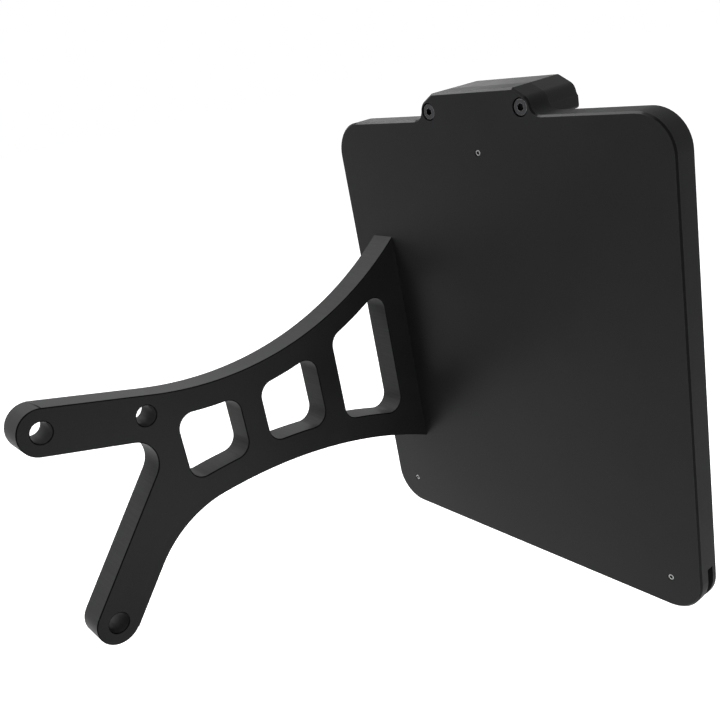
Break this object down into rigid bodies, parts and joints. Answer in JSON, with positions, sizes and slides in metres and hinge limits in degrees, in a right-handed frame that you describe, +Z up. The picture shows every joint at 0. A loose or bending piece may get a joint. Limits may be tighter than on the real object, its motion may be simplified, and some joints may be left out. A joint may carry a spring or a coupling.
{
  "type": "side mount license plate holder",
  "caption": "Side mount license plate holder: a flat windowed arm with a forked end carries an upright milled frame that a plate slides into, with a lamp over the plate.",
  "frame": {"origin": "centre of the main bolt hole at the upper end of the arm, on the arm's inboard face", "axes": "+X from the arm towards the back of the vehicle, +Y inboard along the bolt holes, +Z up"},
  "size_m": [0.2292, 0.189, 0.2215],
  "materials": {
    "anodised_aluminium": "satin black anodised",
    "blackened_steel": "black oxide",
    "clear_plastic": "clear",
    "seal_rubber": "matte",
    "circuit_board": "solder mask",
    "diode": "phosphor under clear resin",
    "resistor_body": "matte"
  },
  "bodies": {
    "root": {"arm": "anodised_aluminium", "plate_carrier": "anodised_aluminium", "lamp_housing": "anodised_aluminium", "lamp_lens": "clear_plastic", "lens_seal": "seal_rubber", "lamp_board": "circuit_board", "led_outer": "diode", "led_middle": "diode", "led_inner": "diode", "board_resistor": "resistor_body", "lamp_screw_outer": "blackened_steel", "lamp_screw_inner": "blackened_steel", "clamp_screw_top": "blackened_steel", "clamp_screw_outer": "blackened_steel", "clamp_screw_inner": "blackened_steel", "arm_screw_lower": "blackened_steel", "arm_screw_middle": "blackened_steel", "arm_screw_upper": "blackened_steel"}
  },
  "joints": []
}
